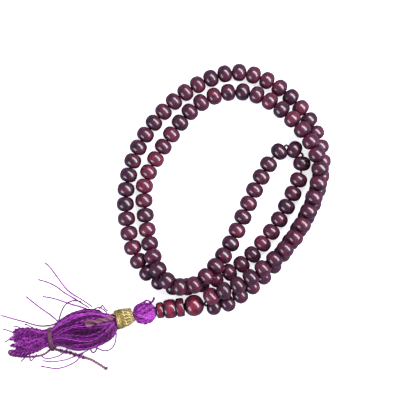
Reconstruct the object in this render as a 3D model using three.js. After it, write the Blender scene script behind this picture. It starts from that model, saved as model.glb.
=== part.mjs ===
// Mala prayer beads: 108 turned beads on one cord, laid down as a double loop, with a guru
// bead, three turned spacers and a bound silk tassel where the two ends of the cord meet.
// Units are millimetres, +Z is up, and the object lies on the plane z = 0.

import * as THREE from 'three';

// Strand
const BEAD_COUNT = 108;
const BEAD_RADIUS = 4;
const BEAD_HALF_LENGTH = 3.2;
const BEAD_PITCH = 6.865;
const TURN_PITCH = 8.9;               // the cord shows between the beads of the sharp turn
const TURN_BEADS = [51, 52, 53];
const NECK_RADIUS = 1.9;              // where two beads of one run are joined
const KNOT_TOLERANCE = 1e-6;          // share of a pitch within which a ring is at a knot
const BEAD_BORE = 0.95;
const BEAD_SIDES = 8;
const BEAD_STEPS = 5;
const CORD_RADIUS = 0.45;
const LEAD_IN = 6.9;                  // cord between its end and the first bead
const SAMPLES_PER_POINT = 60;         // how finely the cord's route is measured

// Guru bead and the turned spacers, by their place along the pendant's axis
const GURU_CENTRE = [13.5, -42.1, 4.95];
const STACK_AXIS = [-22.8, -3.2, -0.3];
const GURU_BORE = 1.55;
const STACK_BORE = 1.2;
const GURU_RADIUS = 4.95;
const GURU_HALF_LENGTH = 4.75;
const SPACER_SIDES = 12;
const SPACER_STEPS = 5;
const GURU_STEPS = 8;
const DISC_PROFILE = { from: 5.1, to: 8.1, end: 3.7, waist: 4.25 };
const BARREL_PROFILE = { from: 8.4, to: 14.1, end: 3.7, waist: 4.4 };
const COLLAR_PROFILE = { from: 14.4, to: 17.5, end: 2.9, waist: 3.7 };
const STACK_CORD_RADIUS = 0.8;

// Tassel
const HEAD_CENTRE = [-9.4, -45.4, 4.8];
const HEAD_RADIUS = 5.1;
const HEAD_FLATTENING = 0.92;
const BINDING_LINE = [[-14.9, -46.2, 4.7], [-18.4, -47.6, 4.75], [-22.4, -48.8, 4.8]];
const BINDING_RADII = [3.2, 4.4, 4.2];
const SKIRT_LINE = [[-22.9, -49.2, 4.9], [-24.8, -50.2, 5], [-28, -51.6, 5.2], [-34, -52.7, 5.3],
  [-40, -53.8, 5.2], [-46, -55.1, 4.7], [-50.4, -56.4, 4.2], [-54.6, -57.2, 3.9]];
const SKIRT_RADII = [2.9, 4.8, 7.2, 9.2, 9.2, 7.2, 4.3, 3.9];
const SKIRT_FLATTENING = 0.62;
const NECK_FLATTENING = 0.8;
const TIE_RADIUS = 5;
const TIE_BORE = 4.3;
const TIE_WIDTH = 2;
const TIE_CENTRE = [-53.4, -57, 4];
const BRUSH_LINE = [[-55.5, -57.4, 3.85], [-56.8, -57.6, 3.7], [-59.4, -58, 3.4], [-63.5, -58.6, 3],
  [-68, -59.3, 2.5], [-71.2, -59.6, 2]];
const BRUSH_RADII = [2.3, 4, 5.2, 6.2, 6, 4.6];
const BRUSH_FLATTENING = 0.5;
const SOFT_SIDES = 12;
const HEAD_SIDES = 14;
const HEAD_RINGS = 8;
const TIE_SIDES = 16;

// Cord ends and loose threads
const TAIL_RADIUS = 0.6;
const THREAD_RADIUS = 0.25;
const CORD_SIDES = 8;
const STEPS_PER_POINT = 1.5;          // along a loose thread's route

// Route of the stringing cord, from inside the guru bead, twice round, and back into it.
const STRAND_ROUTE = [
  [14.8, -41.9, 5.55], [18.3, -41.3, 5.6], [19.2, -39.6, 8.2], [23.4, -36.4, 11.6], [33, -33.4, 12.2],
  [45.3, -25.2, 12.2], [56.4, -15.4, 12.2], [63.6, -4.6, 12.2], [69, 8.2, 12.2], [72, 21.2, 12],
  [66.6, 35.2, 10.4], [57.2, 46.2, 8.2], [44, 55.8, 5.6], [28.2, 57.4, 4.1], [11, 48, 4],
  [-8, 19.6, 4], [-9.6, 4.6, 4.1], [-7.2, -12.6, 5.4], [-4.6, -22, 9.8], [0.2, -30.4, 12.3],
  [9.6, -34.4, 12.4], [19.8, -28.4, 12], [30.4, -13.8, 5], [42.4, 13.2, 4.1], [48.6, 24, 4],
  [52.6, 30.4, 4], [58.6, 33, 4], [63.8, 29.6, 4], [64, 21.6, 4], [58, 6.6, 4],
  [47.6, -10.6, 4], [33.6, -24.6, 4], [14.6, -32.8, 4], [0.2, -32.6, 4], [-11.6, -23, 4],
  [-17, -7.6, 4], [-18.4, 11, 4], [-13, 30.8, 4], [-2, 47.2, 4], [13.4, 60.2, 4],
  [33, 67.2, 4], [51.6, 61, 4], [66.2, 46.4, 4], [73.4, 27.6, 4], [69.6, 7, 4],
  [59.4, -11, 4], [46.4, -27.8, 4], [30.6, -40.2, 4], [22.2, -43.9, 4], [18.4, -41.7, 4.4],
  [14.8, -42.1, 4.4],
];

// Beads that are solids of their own. Those between them are turned as joined runs.
const SINGLE_BEADS = [1, 2, 9, 15, 21, 22, 29, 36, 37, 38, 39, 40, 41, 50, 51, 52, 53, 60, 66, 67,
  74, 81, 87, 95, 101, 107, 108];

const TIE_TAILS = {
  tie_tail_long: [[-51.4, -62.3, 0.7], [-47.8, -63.3, 0.7], [-43.9, -64.1, 0.7], [-38.8, -65.8, 0.7],
    [-34.2, -67.2, 0.7], [-30.5, -69.3, 0.7], [-27.2, -71.4, 0.7]],
  tie_tail_short: [[-53.4, -62.6, 0.7], [-55.5, -64.4, 0.7], [-59.3, -65.6, 0.7], [-65.3, -65.9, 0.7],
    [-70.8, -65.3, 0.7], [-72.6, -64, 0.9], [-71.9, -62.8, 1.1]],
};

const LOOSE_THREADS = {
  loose_thread_1: [[-33.6, -42.6, 5], [-38, -39.8, 2.6], [-42, -37.4, 1], [-46, -34.4, 0.4],
    [-50, -29.3, 0.3], [-53.7, -24.4, 0.3], [-56.2, -22.1, 0.3]],
  loose_thread_2: [[-35.2, -43, 4.2], [-39.4, -40.6, 2], [-43.4, -38.2, 0.7], [-47.2, -36, 0.3],
    [-50.6, -33.4, 0.3], [-54.6, -31.4, 0.3], [-59.3, -30, 0.3]],
  loose_thread_3: [[-36.4, -43.6, 3.6], [-40.4, -42.4, 1.6], [-44.4, -41.3, 0.4], [-49.4, -39.6, 0.3],
    [-53, -38.6, 0.3], [-57.1, -37.9, 0.3]],
  loose_thread_4: [[-49.4, -49.6, 3.6], [-51.6, -47.8, 1.4], [-54, -46, 0.4], [-58.4, -43, 0.3],
    [-62, -40.2, 0.3], [-64.8, -37.9, 0.3]],
  loose_thread_5: [[-37.9, -64.2, 2.6], [-39.4, -66, 2.1], [-41.2, -67.9, 0.8], [-44, -69.5, 0.3],
    [-47.4, -70.8, 0.3], [-50.8, -71.3, 0.3], [-54.4, -70.8, 0.3], [-57.8, -70.2, 0.3]],
  loose_thread_6: [[-46.3, -47.4, 3.6], [-48.6, -48.9, 2.6], [-51, -50.6, 1.6], [-53.7, -51.3, 0.9],
    [-57.4, -51.6, 0.5], [-61.1, -51, 0.3], [-64.9, -49.8, 0.3], [-70.4, -48.4, 0.3], [-76.4, -46.7, 0.3]],
};

const UP = new THREE.Vector3(0, 0, 1);
const vector = (point) => new THREE.Vector3(...point);

// The smooth curve that passes through every point of a route.
function smoothRoute(points) {
  return new THREE.CatmullRomCurve3(points.map(vector), false, 'catmullrom', 0.5);
}

function material(color, roughness, metalness = 0) {
  return new THREE.MeshStandardMaterial({ color, roughness, metalness });
}
const rosewood = material(0x5f232d, 0.25);
const redRosewood = material(0x821e28, 0.25);
const darkCord = material(0x2a1418, 0.8);
const silk = material(0x963296, 0.5);
const goldThread = material(0xc8aa3c, 0.4, 0.6);
const tieThread = material(0x6e2846, 0.7);

const mala = new THREE.Group();

function add(name, geometry, finish) {
  const mesh = new THREE.Mesh(geometry, finish);
  mesh.name = name;
  mala.add(mesh);
}

// Turned pieces -----------------------------------------------------------------------------

// A bored bead about local Y: an arc of an ellipse from one mouth of the bore to the other,
// closed by the bore itself.
function boredEllipsoid(radius, halfLength, bore, sides, steps) {
  const mouth = Math.asin(bore / radius);
  const profile = [];
  for (let i = 0; i <= steps; i++) {
    const angle = mouth + (Math.PI - 2 * mouth) * (i / steps);
    profile.push(new THREE.Vector2(radius * Math.sin(angle), -halfLength * Math.cos(angle)));
  }
  profile.push(profile[0].clone());
  return new THREE.LatheGeometry(profile, sides);
}

// A bored spacer about local Y, whose wall swells from its two ends to its waist.
function boredBarrel({ from, to, end, waist }, bore) {
  const profile = [new THREE.Vector2(bore, from)];
  for (let i = 0; i <= SPACER_STEPS; i++) {
    const along = i / SPACER_STEPS;
    const swell = Math.sqrt(Math.max(0, 1 - (2 * along - 1) ** 2));
    profile.push(new THREE.Vector2(end + (waist - end) * swell, from + (to - from) * along));
  }
  profile.push(new THREE.Vector2(bore, to), profile[0].clone());
  return new THREE.LatheGeometry(profile, SPACER_SIDES);
}

// The matrix that lays local Y along an axis and keeps local Z as near to up as it can be.
function frameAlong(axis, centre) {
  const y = axis.clone().normalize();
  const x = new THREE.Vector3().crossVectors(y, UP).normalize();
  const z = new THREE.Vector3().crossVectors(x, y);
  return new THREE.Matrix4().makeBasis(x, y, z).setPosition(centre);
}

// Strand ------------------------------------------------------------------------------------

// Knots are the middles of the gaps between beads: chords of one bead's pitch each, stepped
// off along the route, so that the cord runs straight through every bore.
function strandKnots() {
  const samples = smoothRoute(STRAND_ROUTE).getPoints((STRAND_ROUTE.length - 1) * SAMPLES_PER_POINT);
  let run = 0;
  let at = 0;
  while (run < LEAD_IN) {
    run += samples[at].distanceTo(samples[at + 1]);
    at += 1;
  }
  const knots = [samples[at]];
  for (let bead = 1; bead <= BEAD_COUNT; bead++) {
    const last = knots[knots.length - 1];
    const chord = TURN_BEADS.includes(bead) ? TURN_PITCH : BEAD_PITCH;
    while (at < samples.length - 2 && samples[at + 1].distanceTo(last) < chord) {
      at += 1;
    }
    const inside = samples[at].distanceTo(last);
    const outside = samples[at + 1].distanceTo(last);
    const share = (chord - inside) / (outside - inside);
    knots.push(samples[at].clone().lerp(samples[at + 1], share));
  }
  return knots;
}

const knots = strandKnots();

function beadGeometry(number) {
  const [near, far] = [knots[number - 1], knots[number]];
  const axis = far.clone().sub(near);
  const centre = near.clone().add(far).multiplyScalar(0.5);
  const geometry = boredEllipsoid(BEAD_RADIUS, BEAD_HALF_LENGTH, BEAD_BORE, BEAD_SIDES, BEAD_STEPS);
  return geometry.applyMatrix4(frameAlong(axis, centre));
}

// A run of joined beads: one turned profile of bellies and necks, with s = 0, 1, 2... at the
// knots of the run, bent so that each belly lies along its own stretch of the cord.
function runGeometry(first, last) {
  const count = last - first + 1;
  const reach = BEAD_HALF_LENGTH / BEAD_PITCH;
  const mouth = 0.5 - reach * Math.cos(Math.asin(BEAD_BORE / BEAD_RADIUS));
  const profile = [new THREE.Vector2(BEAD_BORE, mouth)];
  for (let bead = 0; bead < count; bead++) {
    if (bead > 0) {
      profile.push(new THREE.Vector2(NECK_RADIUS, bead));
    }
    for (const angle of [Math.PI / 4, Math.PI / 2, 3 * Math.PI / 4]) {
      const s = bead + 0.5 - reach * Math.cos(angle);
      profile.push(new THREE.Vector2(BEAD_RADIUS * Math.sin(angle), s));
    }
  }
  profile.push(new THREE.Vector2(BEAD_BORE, count - mouth));
  for (let knot = count - 1; knot > 0; knot--) {
    profile.push(new THREE.Vector2(BEAD_BORE, knot));
  }
  profile.push(profile[0].clone());

  const geometry = new THREE.LatheGeometry(profile, BEAD_SIDES);
  const position = geometry.attributes.position;
  const local = new THREE.Vector3();
  for (let i = 0; i < position.count; i++) {
    local.fromBufferAttribute(position, i);
    const s = local.y;
    const knot = Math.round(s);
    const atKnot = Math.abs(s - knot) < KNOT_TOLERANCE;
    const near = first - 1 + (atKnot ? knot - 1 : Math.floor(s));
    const far = atKnot ? near + 2 : near + 1;
    const axis = knots[far].clone().sub(knots[near]);
    const origin = knots[atKnot ? near + 1 : near].clone();
    if (!atKnot) {
      origin.addScaledVector(axis, s - Math.floor(s));
    }
    local.setY(0).applyMatrix4(frameAlong(axis, origin));
    position.setXYZ(i, local.x, local.y, local.z);
  }
  geometry.computeVertexNormals();
  return geometry;
}

const padded = (number) => String(number).padStart(3, '0');

for (const number of SINGLE_BEADS) {
  add(`bead_${padded(number)}`, beadGeometry(number), rosewood);
}

for (let i = 0; i + 1 < SINGLE_BEADS.length; i++) {
  const first = SINGLE_BEADS[i] + 1;
  const last = SINGLE_BEADS[i + 1] - 1;
  if (last >= first) {
    add(`beads_${padded(first)}_to_${padded(last)}`, runGeometry(first, last), rosewood);
  }
}

// A round section carried along a path, as a closed body.
function roundSection(radius) {
  const shape = new THREE.Shape();
  for (let i = 0; i < CORD_SIDES; i++) {
    const angle = (i / CORD_SIDES) * 2 * Math.PI;
    const method = i ? 'lineTo' : 'moveTo';
    shape[method](radius * Math.cos(angle), radius * Math.sin(angle));
  }
  shape.closePath();
  return shape;
}

// A path that goes straight from point to point and is read only at its points.
class ThreadedPath extends THREE.Curve {
  constructor(points) {
    super();
    this.points = points;
  }

  getPointAt(u) {
    return this.points[Math.round(u * (this.points.length - 1))].clone();
  }

  getTangentAt(u) {
    const at = Math.round(u * (this.points.length - 1));
    const next = this.points[Math.min(at + 1, this.points.length - 1)];
    const previous = this.points[Math.max(at - 1, 0)];
    return next.clone().sub(previous).normalize();
  }
}

const cordPath = new ThreadedPath([...STRAND_ROUTE.slice(0, 2).map(vector), ...knots,
  ...STRAND_ROUTE.slice(-2).map(vector)]);
add('stringing_cord', new THREE.ExtrudeGeometry(roundSection(CORD_RADIUS), {
  steps: cordPath.points.length - 1,
  extrudePath: cordPath,
}), darkCord);

// Guru bead and spacers ---------------------------------------------------------------------

const stackFrame = frameAlong(vector(STACK_AXIS), vector(GURU_CENTRE));
const guru = boredEllipsoid(GURU_RADIUS, GURU_HALF_LENGTH, GURU_BORE, SPACER_SIDES, GURU_STEPS);
add('guru_bead', guru.applyMatrix4(stackFrame), redRosewood);
const SPACERS = { guru_disc: DISC_PROFILE, guru_barrel: BARREL_PROFILE, guru_collar: COLLAR_PROFILE };
for (const [name, profile] of Object.entries(SPACERS)) {
  add(name, boredBarrel(profile, STACK_BORE).applyMatrix4(stackFrame), redRosewood);
}

const stackCord = new THREE.LatheGeometry([
  new THREE.Vector2(0, DISC_PROFILE.from),
  new THREE.Vector2(STACK_CORD_RADIUS, DISC_PROFILE.from),
  new THREE.Vector2(STACK_CORD_RADIUS, COLLAR_PROFILE.to),
  new THREE.Vector2(0, COLLAR_PROFILE.to),
], CORD_SIDES);
add('pendant_cord', stackCord.applyMatrix4(stackFrame), darkCord);

// Tassel ------------------------------------------------------------------------------------

// A soft round body along a line: circles of the given radii, flattened towards the line's
// own height and never lower than the plane that the object lies on.
function softBody(line, radii, flattening, endFlattening = flattening) {
  const centre = smoothRoute(line);
  const last = radii.length - 1;
  const profile = [new THREE.Vector2(0, 0)];
  radii.forEach((radius, i) => profile.push(new THREE.Vector2(radius, i / last)));
  profile.push(new THREE.Vector2(0, 1));
  const geometry = new THREE.LatheGeometry(profile, SOFT_SIDES, Math.PI / SOFT_SIDES);
  const position = geometry.attributes.position;
  const local = new THREE.Vector3();
  const side = new THREE.Vector3();
  for (let i = 0; i < position.count; i++) {
    local.fromBufferAttribute(position, i);
    const along = THREE.MathUtils.clamp(local.y, 0, 1);
    const middle = centre.getPoint(along);
    side.crossVectors(centre.getTangent(along), UP).normalize();
    const edge = Math.abs(2 * along - 1) ** 2;
    const flat = flattening + (endFlattening - flattening) * edge;
    const place = middle.addScaledVector(side, local.x).addScaledVector(UP, local.z * flat);
    position.setXYZ(i, place.x, place.y, Math.max(place.z, 0));
  }
  return geometry;
}

const head = new THREE.SphereGeometry(HEAD_RADIUS, HEAD_SIDES, HEAD_RINGS);
head.scale(1, 1, HEAD_FLATTENING).translate(...HEAD_CENTRE);
add('tassel_head', head, silk);
add('gold_binding', softBody(BINDING_LINE, BINDING_RADII, 1), goldThread);
add('tassel_skirt', softBody(SKIRT_LINE, SKIRT_RADII, SKIRT_FLATTENING, NECK_FLATTENING), silk);
add('tassel_brush', softBody(BRUSH_LINE, BRUSH_RADII, BRUSH_FLATTENING, NECK_FLATTENING), silk);

// The lower tie is a flattened ring round the skirt's neck.
const tieRing = new THREE.LatheGeometry([
  new THREE.Vector2(TIE_BORE, -TIE_WIDTH / 2),
  new THREE.Vector2(TIE_RADIUS, -TIE_WIDTH / 2),
  new THREE.Vector2(TIE_RADIUS, TIE_WIDTH / 2),
  new THREE.Vector2(TIE_BORE, TIE_WIDTH / 2),
  new THREE.Vector2(TIE_BORE, -TIE_WIDTH / 2),
], TIE_SIDES).scale(1, 1, NECK_FLATTENING);
const skirtEnd = vector(SKIRT_LINE.at(-1)).sub(vector(SKIRT_LINE.at(-2))).setZ(0);
add('lower_tie', tieRing.applyMatrix4(frameAlong(skirtEnd, vector(TIE_CENTRE))), tieThread);

// Tails of the tie and loose threads --------------------------------------------------------

function threadGeometry(route, radius) {
  return new THREE.ExtrudeGeometry(roundSection(radius), {
    steps: Math.ceil(STEPS_PER_POINT * (route.length - 1)),
    extrudePath: smoothRoute(route),
  });
}

for (const [name, route] of Object.entries(TIE_TAILS)) {
  add(name, threadGeometry(route, TAIL_RADIUS), tieThread);
}
for (const [name, route] of Object.entries(LOOSE_THREADS)) {
  add(name, threadGeometry(route, THREAD_RADIUS), silk);
}

export default mala;
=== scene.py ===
import math

import bpy
import numpy as np
from mathutils import Matrix, Vector


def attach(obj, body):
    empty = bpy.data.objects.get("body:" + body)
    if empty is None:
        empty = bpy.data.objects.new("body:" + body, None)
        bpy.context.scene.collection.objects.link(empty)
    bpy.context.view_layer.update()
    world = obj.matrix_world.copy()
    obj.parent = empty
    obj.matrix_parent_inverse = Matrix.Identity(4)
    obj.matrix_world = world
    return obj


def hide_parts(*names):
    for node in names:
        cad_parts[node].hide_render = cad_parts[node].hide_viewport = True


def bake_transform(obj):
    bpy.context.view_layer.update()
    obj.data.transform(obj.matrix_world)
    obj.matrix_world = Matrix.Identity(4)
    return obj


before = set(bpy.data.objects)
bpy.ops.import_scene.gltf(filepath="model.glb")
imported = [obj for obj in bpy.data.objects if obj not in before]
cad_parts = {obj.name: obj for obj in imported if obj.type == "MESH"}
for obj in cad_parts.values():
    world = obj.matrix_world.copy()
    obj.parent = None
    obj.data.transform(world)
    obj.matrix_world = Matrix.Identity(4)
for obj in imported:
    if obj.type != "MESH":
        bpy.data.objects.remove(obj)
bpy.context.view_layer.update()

MM = 0.001


# ---------------------------------------------------------------------------------------------
# The tabletop, the light and the camera. The mala lies on a pale sheet of card that glows a
# little, under a long, tilted window lamp high on its right and a small lamp low on its near left.

VIEW_CENTRE = Vector((0.0200, 0.0031, 0.005))
VIEW_WIDTH = 0.1934
VIEW_DISTANCE = 0.62
SENSOR_WIDTH = 36.0


def towards(azimuth, elevation):
    """The unit vector at an angle from +X towards +Y, and an angle above the table, in degrees."""
    turn, lift = math.radians(azimuth), math.radians(elevation)
    return Vector((math.cos(turn) * math.cos(lift), math.sin(turn) * math.cos(lift), math.sin(lift)))


def soft_light(name, azimuth, elevation, distance, width, height, roll, power, tint):
    """A rectangular lamp that faces the middle of the view. Its long side dips to the right by
    the roll, in degrees."""
    lamp = bpy.data.lights.new(name, "AREA")
    lamp.shape = "RECTANGLE"
    lamp.size = width
    lamp.size_y = height
    lamp.energy = power
    lamp.color = tint
    holder = bpy.data.objects.new(name, lamp)
    out = towards(azimuth, elevation)
    level = Vector((out.y, -out.x, 0)).normalized()
    dip = math.radians(roll)
    long_side = level * math.cos(dip) - level.cross(out) * math.sin(dip)
    holder.location = VIEW_CENTRE + distance * out
    holder.rotation_euler = Matrix((long_side, out.cross(long_side), out)).transposed().to_euler()
    bpy.context.scene.collection.objects.link(holder)


soft_light("window", 24, 55, 0.9, 1.7, 0.34, 24, 23.0, (0.97, 0.95, 1.0))
soft_light("corner_lamp", 218, 25, 0.9, 0.60, 0.40, 0, 5.5, (0.88, 0.90, 1.0))

sky = bpy.data.worlds.new("studio")
sky.use_nodes = True
sky.node_tree.nodes["Background"].inputs["Color"].default_value = (0.74, 0.76, 1.0, 1)
sky.node_tree.nodes["Background"].inputs["Strength"].default_value = 0.24
bpy.context.scene.world = sky
bpy.context.scene.view_settings.view_transform = "Standard"

camera_lens = bpy.data.cameras.new("camera")
camera_lens.sensor_width = SENSOR_WIDTH
camera_lens.lens = SENSOR_WIDTH * VIEW_DISTANCE / VIEW_WIDTH
camera = bpy.data.objects.new("camera", camera_lens)
camera_side = towards(-90, 86)
camera.location = VIEW_CENTRE + VIEW_DISTANCE * camera_side
camera.rotation_euler = camera_side.to_track_quat("Z", "Y").to_euler()
bpy.context.scene.collection.objects.link(camera)
bpy.context.scene.camera = camera


def new_finish(name, **sockets):
    """A node material. The sockets named are set on its Principled shader, _ standing for a space."""
    finish = bpy.data.materials.new(name)
    finish.use_nodes = True
    shader = finish.node_tree.nodes["Principled BSDF"]
    for socket, value in sockets.items():
        shader.inputs[socket.replace("_", " ")].default_value = value
    return finish, finish.node_tree, shader


def put(tree, kind, inputs=None, **settings):
    """A node of this kind. An input given as a socket is linked, and any other is its value."""
    node = tree.nodes.new(kind)
    for setting, value in settings.items():
        setattr(node, setting, value)
    for socket, value in (inputs or {}).items():
        if isinstance(value, bpy.types.NodeSocket):
            tree.links.new(value, node.inputs[socket])
        else:
            node.inputs[socket].default_value = value
    return node


def card_finish():
    """White card with a fine felt of fibres, which glows enough to keep its shadows faint. It is
    grey to the lacquer's reflections, so that the beads keep their dark edges."""
    finish, tree, shader = new_finish("card", Roughness=0.85)
    place = put(tree, "ShaderNodeTexCoord").outputs["Object"]
    felt = put(tree, "ShaderNodeTexNoise", {"Vector": place, "Scale": 900.0, "Detail": 3.0})
    tone = put(tree, "ShaderNodeMapRange", {"Value": felt.outputs["Fac"], "To Min": 0.93, "To Max": 0.97})
    tone = tone.outputs[0]
    white = put(tree, "ShaderNodeCombineColor", {0: tone, 1: tone, 2: tone}).outputs[0]
    path = put(tree, "ShaderNodeLightPath").outputs
    seen = path["Is Camera Ray"]
    unseen = put(tree, "ShaderNodeMix",
                 {"Factor": path["Is Glossy Ray"], "A": CARD_FILL, "B": CARD_REFLECTED}, data_type="RGBA")
    paper = put(tree, "ShaderNodeMix",
                {"Factor": seen, "A": unseen.outputs["Result"], "B": white}, data_type="RGBA")
    glow = put(tree, "ShaderNodeMapRange", {"Value": seen, "To Min": 0.0, "To Max": CARD_GLOW})
    tree.links.new(paper.outputs["Result"], shader.inputs["Base Color"])
    tree.links.new(glow.outputs[0], shader.inputs["Emission Strength"])
    shader.inputs["Emission Color"].default_value = (1.0, 1.0, 1.0, 1)
    return finish


CARD_FILL = (0.30, 0.27, 0.36, 1)
CARD_REFLECTED = (0.10, 0.10, 0.165, 1)
CARD_GLOW = 0.74
CARD_HALF = 3.0
card_mesh = bpy.data.meshes.new("card")
card_mesh.from_pydata([(-CARD_HALF, -CARD_HALF, 0), (CARD_HALF, -CARD_HALF, 0), (CARD_HALF, CARD_HALF, 0),
                       (-CARD_HALF, CARD_HALF, 0)], [], [(0, 1, 2, 3)])
card_mesh.materials.append(card_finish())
card = bpy.data.objects.new("card", card_mesh)
bpy.context.scene.collection.objects.link(card)


# ---------------------------------------------------------------------------------------------
# The stringing cord: a dark two-ply cotton cord, 0.75 m of it, led out of the guru bead, twice
# round and back in. It runs straight through each bead's bore and bends between the beads.

BEAD_COUNT = 108
BEAD_PITCH = 6.865 * MM
TURN_PITCH = 8.9 * MM
TURN_BEADS = (51, 52, 53)
LEAD_IN = 6.9 * MM
SAMPLES_PER_POINT = 60
CORD_DIAMETER = 1.0 * MM
CORD_STEP = 0.4 * MM
CORD_LAY = 2.4 * MM

STRAND_ROUTE = MM * np.array([
    (14.8, -41.9, 5.55), (18.3, -41.3, 5.6), (19.2, -39.6, 8.2), (23.4, -36.4, 11.6), (33, -33.4, 12.2),
    (45.3, -25.2, 12.2), (56.4, -15.4, 12.2), (63.6, -4.6, 12.2), (69, 8.2, 12.2), (72, 21.2, 12),
    (66.6, 35.2, 10.4), (57.2, 46.2, 8.2), (44, 55.8, 5.6), (28.2, 57.4, 4.1), (11, 48, 4),
    (-8, 19.6, 4), (-9.6, 4.6, 4.1), (-7.2, -12.6, 5.4), (-4.6, -22, 9.8), (0.2, -30.4, 12.3),
    (9.6, -34.4, 12.4), (19.8, -28.4, 12), (30.4, -13.8, 5), (42.4, 13.2, 4.1), (48.6, 24, 4),
    (52.6, 30.4, 4), (58.6, 33, 4), (63.8, 29.6, 4), (64, 21.6, 4), (58, 6.6, 4),
    (47.6, -10.6, 4), (33.6, -24.6, 4), (14.6, -32.8, 4), (0.2, -32.6, 4), (-11.6, -23, 4),
    (-17, -7.6, 4), (-18.4, 11, 4), (-13, 30.8, 4), (-2, 47.2, 4), (13.4, 60.2, 4),
    (33, 67.2, 4), (51.6, 61, 4), (66.2, 46.4, 4), (73.4, 27.6, 4), (69.6, 7, 4),
    (59.4, -11, 4), (46.4, -27.8, 4), (30.6, -40.2, 4), (22.2, -43.9, 4), (18.4, -41.7, 4.4),
    (14.8, -42.1, 4.4)])


def smooth_route(points, per_point):
    """The curve through every point: between two of them, a cubic whose slope at each point is
    half the step between its neighbours. The route is carried on straight past each end."""
    points = np.asarray(points, float)
    ends = np.vstack([2 * points[0] - points[1], points, 2 * points[-1] - points[-2]])
    before, here, there, after = ends[:-3, None], ends[1:-2, None], ends[2:-1, None], ends[3:, None]
    slope_here, slope_there = (there - before) / 2, (after - here) / 2
    t = np.linspace(0, 1, per_point, endpoint=False)[None, :, None]
    curve = ((2 * here - 2 * there + slope_here + slope_there) * t ** 3
             + (3 * there - 3 * here - 2 * slope_here - slope_there) * t ** 2 + slope_here * t + here)
    return np.vstack([curve.reshape(-1, 3), points[-1:]])


def strand_knots():
    """The middles of the gaps between beads: chords of one bead's pitch each, stepped off along
    the route from the place where the first bead starts."""
    samples = smooth_route(STRAND_ROUTE, SAMPLES_PER_POINT)
    run = np.concatenate([[0], np.cumsum(np.linalg.norm(np.diff(samples, axis=0), axis=1))])
    at = int(np.argmax(run >= LEAD_IN))
    knots = [samples[at]]
    for bead in range(1, BEAD_COUNT + 1):
        chord = TURN_PITCH if bead in TURN_BEADS else BEAD_PITCH
        while at < len(samples) - 2 and np.linalg.norm(samples[at + 1] - knots[-1]) < chord:
            at += 1
        inside, outside = np.linalg.norm(samples[at:at + 2] - knots[-1], axis=1)
        share = (chord - inside) / (outside - inside)
        knots.append(samples[at] + share * (samples[at + 1] - samples[at]))
    return np.array(knots)


def evenly(line, step):
    """The line again, as points one step apart along it."""
    run = np.concatenate([[0], np.cumsum(np.linalg.norm(np.diff(line, axis=0), axis=1))])
    at = np.linspace(0, run[-1], max(2, int(run[-1] / step)))
    return np.stack([np.interp(at, run, line[:, axis]) for axis in range(3)], axis=1)


PLY_DEPTH = 0.16


def thread_rings(lines, radius, sides, lay=None):
    """Rings of points square to each line. Point k of a ring stands at line + r (s cos a + u sin a),
    where a = 2 pi k / sides, s is level and square to the line, and u is square to both. With a
    lay, r swells where a ply comes round: r = radius (1 + depth cos 2 (a - 2 pi run / lay)), and
    each line's run starts at its own place in the lay."""
    step = np.gradient(lines, axis=-2)
    ahead = step / np.linalg.norm(step, axis=-1, keepdims=True)
    side = np.cross((0.013, 0.021, 1.0), ahead)
    side /= np.linalg.norm(side, axis=-1, keepdims=True)
    above = np.cross(ahead, side)
    angle = 2 * np.pi * np.arange(sides) / sides
    reach = np.broadcast_to(radius, lines.shape[:-1])[..., None] * np.ones(sides)
    if lay:
        run = np.cumsum(np.linalg.norm(step, axis=-1), axis=-1)[..., None]
        run = run + 0.618 * lay * np.arange(len(lines))[:, None, None]
        reach = reach * (1 + PLY_DEPTH * np.cos(2 * (angle - 2 * np.pi * run / lay)))
    spoke = (side[..., None, :] * np.cos(angle)[:, None] + above[..., None, :] * np.sin(angle)[:, None])
    return lines[..., None, :] + reach[..., None] * spoke


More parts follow.
